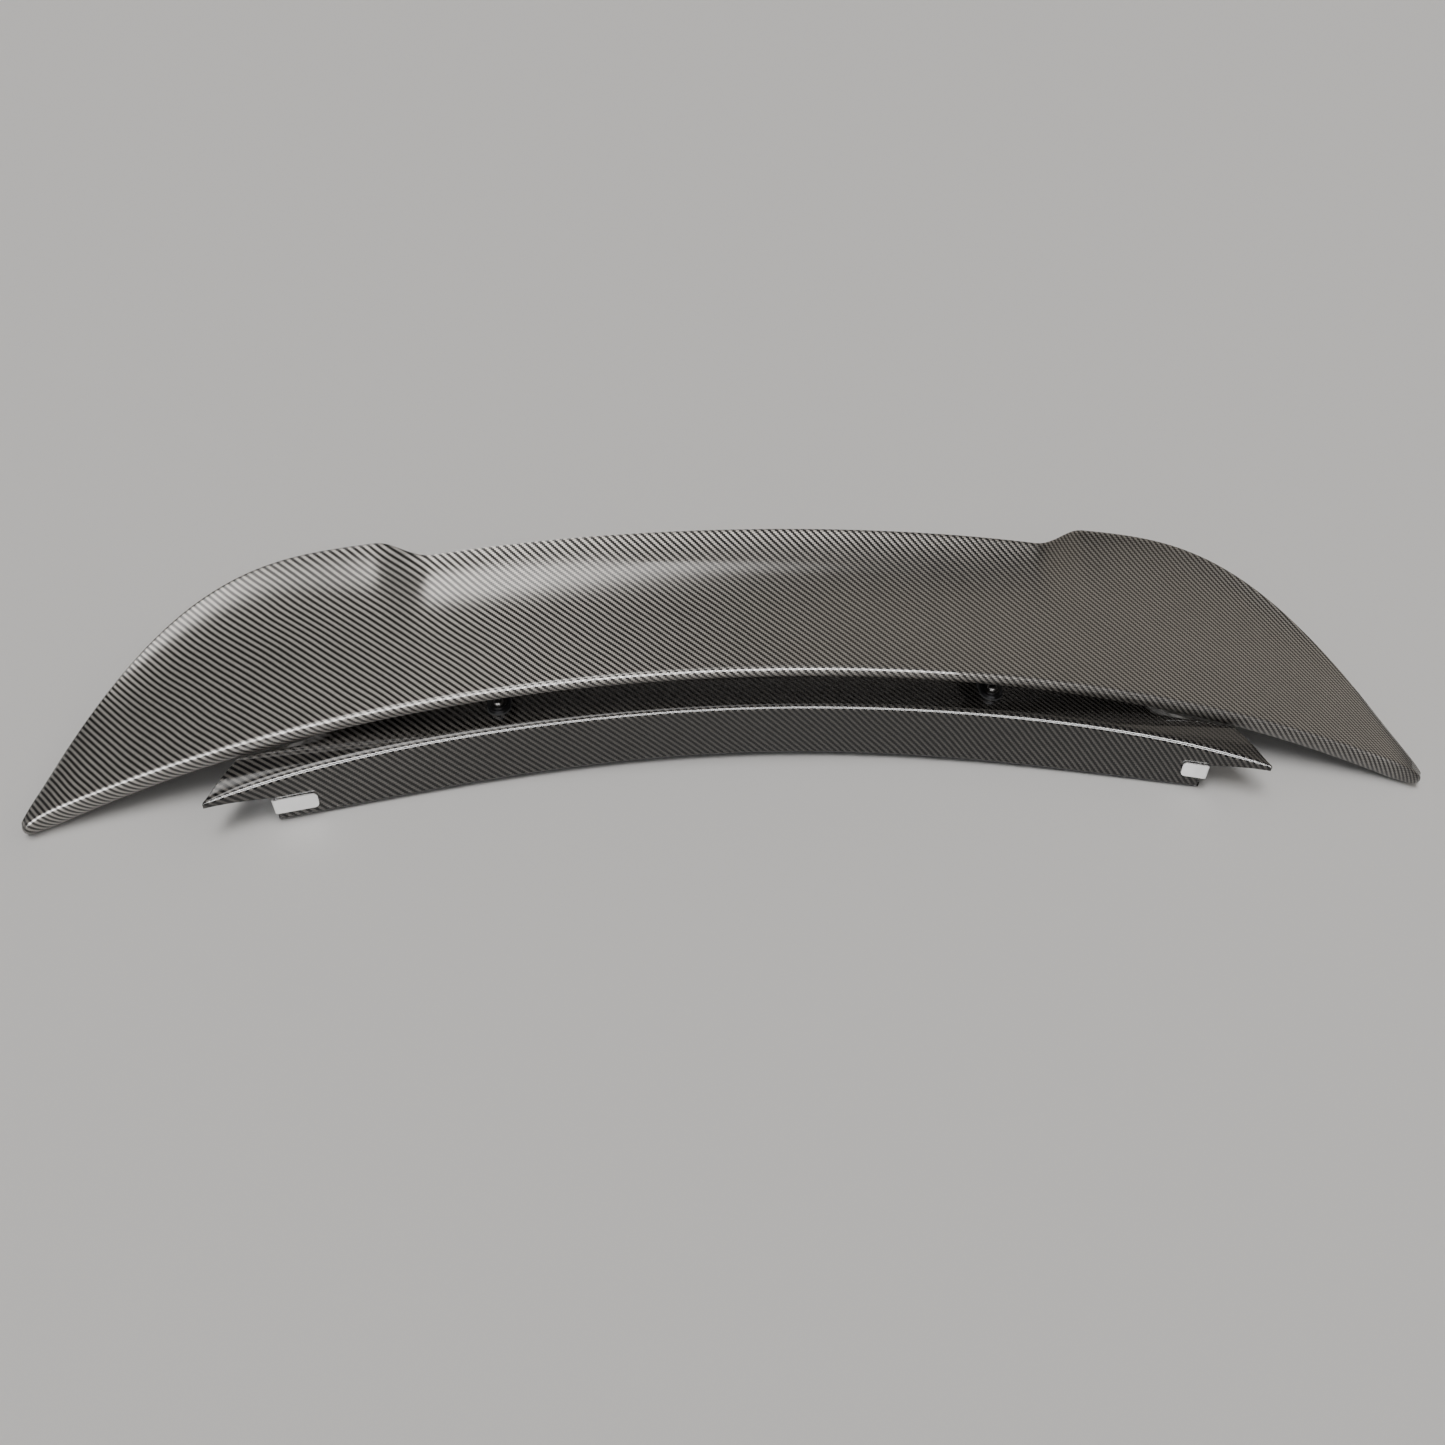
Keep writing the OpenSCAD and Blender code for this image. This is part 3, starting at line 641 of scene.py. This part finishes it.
carbon = carbon_material("carbon_twill")
carbon_base = carbon_material("carbon_twill_dark_and_shaded", 0.2, 1.0)     # the base's copy is painted darker: partly a darker wetted-out finish, partly painted shade for the dimmer light on the base
bare = metal("bare_sheet", (0.90, 0.89, 0.87, 1), 0.44, scale=(260, 40, 260), depth=0.00015, wear=0.4)
steel = metal("stainless", (0.66, 0.65, 0.63, 1), 0.24, scale=(500, 500, 500))
zinc = metal("zinc_plate", (0.58, 0.59, 0.58, 1), 0.38, scale=(300, 300, 300))
black = metal("black_anodised", (0.035, 0.035, 0.038, 1), 0.36, scale=(700, 700, 700), wear=0.3)
oxide = metal("black_oxide", (0.045, 0.043, 0.042, 1), 0.3, scale=(500, 500, 500), wear=0.3)
rubber = plastic("rubber", (0.012, 0.012, 0.012, 1), 0.75, 1400, 0.0001)
laminate = plastic("glass_laminate", (0.02, 0.02, 0.021, 1), 0.5, 500, 0.00025)

for ob, node in ((shell, "blade_upper_skin"), (panel, "blade_lower_skin"), (base, "base_upper_skin")):
    ob.data.materials.clear()
    ob.data.materials.append(carbon_base if ob is base else carbon)
    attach(ob, "root")
    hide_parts(node)

LOOK = {
    "blade_insert_left": bare, "blade_insert_right": bare, "blade_spar": laminate, "pylon_left": black, "pylon_right": black,
    "pylon_head_gaskets": rubber, "pylon_foot_gaskets": rubber, "blade_screws": steel, "blade_screw_washers": steel,
    "pylon_front_screws": oxide, "pylon_front_washers": oxide, "pylon_rear_bolts": zinc, "pylon_rear_washers": zinc,
    "base_lower_tray": laminate, "base_tip_covers": laminate, "hardpoint_left": bare, "hardpoint_right": bare,
    "access_plugs": rubber, "end_bracket_left": bare, "end_bracket_right": bare, "bracket_bolts": steel,
    "bracket_washers": steel, "bracket_nuts": steel, "mount_inserts": zinc, "rest_pads": rubber,
}
for node, mat in LOOK.items():
    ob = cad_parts[node]
    if not ob.material_slots:
        ob.data.materials.append(mat)
    for ms in ob.material_slots:
        ms.material = mat

# ------------------------------------------------------------------ floor and light
AMBIENT = (0.09, 0.09, 0.092)
SKY = [
    # colour, power, (bearing from, to, height from, to, softness across, softness up)
    ((1.0, 0.92, 0.80), 0.50, (10, 110, 14, 58, 16, 12)),
    ((1.0, 0.985, 0.965), 5.8, (-150, -10, 66, 88, 34, 8)),
    ((1.0, 0.99, 0.98), 3.6, (-10, 40, 74, 95, 30, 8)),
]
me = bpy.data.meshes.new("floor")
s = 30.0
me.from_pydata([(-s, -s, -0.0004), (s, -s, -0.0004), (s, s, -0.0004), (-s, s, -0.0004)], [], [(0, 1, 2, 3)])
floor = bpy.data.objects.new("floor", me)
bpy.context.scene.collection.objects.link(floor)
mat, nt, b = new_mat("floor_paint")
b.inputs["Base Color"].default_value = (0.78, 0.775, 0.77, 1)
b.inputs["Roughness"].default_value = 0.85
b.inputs["Specular IOR Level"].default_value = 0.15
me.materials.append(mat)

world = bpy.data.worlds.new("studio")
bpy.context.scene.world = world
world.use_nodes = True
wt = world.node_tree
bg = wt.nodes["Background"]
g = G(wt)
dirn = wt.nodes.new("ShaderNodeTexCoord").outputs["Generated"]
sep = wt.nodes.new("ShaderNodeSeparateXYZ")
wt.links.new(dirn, sep.inputs[0])
az = g.m("DEGREES", g.m("ARCTAN2", sep.outputs[0], sep.outputs[1]))      # 0 looks along +Y, 90 along +X
el = g.m("DEGREES", g.m("ARCSINE", sep.outputs[2]))


def soft(v, lo, hi):
    n = wt.nodes.new("ShaderNodeMapRange")
    n.interpolation_type = "SMOOTHSTEP"
    n.inputs["From Min"].default_value = lo
    n.inputs["From Max"].default_value = hi
    wt.links.new(v, n.inputs["Value"])
    return n.outputs[0]


def box_light(a0, a1, e0, e1, edge_a, edge_e):
    """A soft-edged patch of the surroundings, between two bearings and two heights in degrees."""
    f1 = g.m("MULTIPLY", soft(az, a0 - edge_a, a0 + edge_a), soft(az, a1 + edge_a, a1 - edge_a))
    f2 = g.m("MULTIPLY", soft(el, e0 - edge_e, e0 + edge_e), soft(el, e1 + edge_e, e1 - edge_e))
    return g.m("MULTIPLY", f1, f2)


sky = None
for colour, power, place in SKY:
    part = g.vm("SCALE", tuple(c * power for c in colour))
    wt.links.new(box_light(*place), part.node.inputs["Scale"])
    sky = part if sky is None else g.vm("ADD", sky, part)
wt.links.new(g.vm("ADD", sky, AMBIENT), bg.inputs[0])
bg.inputs[1].default_value = 1.32


def area(name, place, target, size, power, colour=(1, 1, 1)):
    d = bpy.data.lights.new(name, "AREA")
    d.shape = "RECTANGLE"
    d.size, d.size_y = size
    d.energy = power
    d.color = colour
    o = bpy.data.objects.new(name, d)
    bpy.context.scene.collection.objects.link(o)
    o.location = place
    o.rotation_euler = (Vector(target) - Vector(place)).to_track_quat("-Z", "Y").to_euler()
    return o


# two long soft strips behind the camera draw the bright lines along the front edges
for name, place, power in (("strip_a", (-1.9, -2.5, 2.6), 330), ("strip_b", (-1.9, -3.5, 1.9), 290)):
    strip = area(name, place, (-1.9, 0, 0), (6.4, 0.2), power)
    strip.visible_diffuse = False
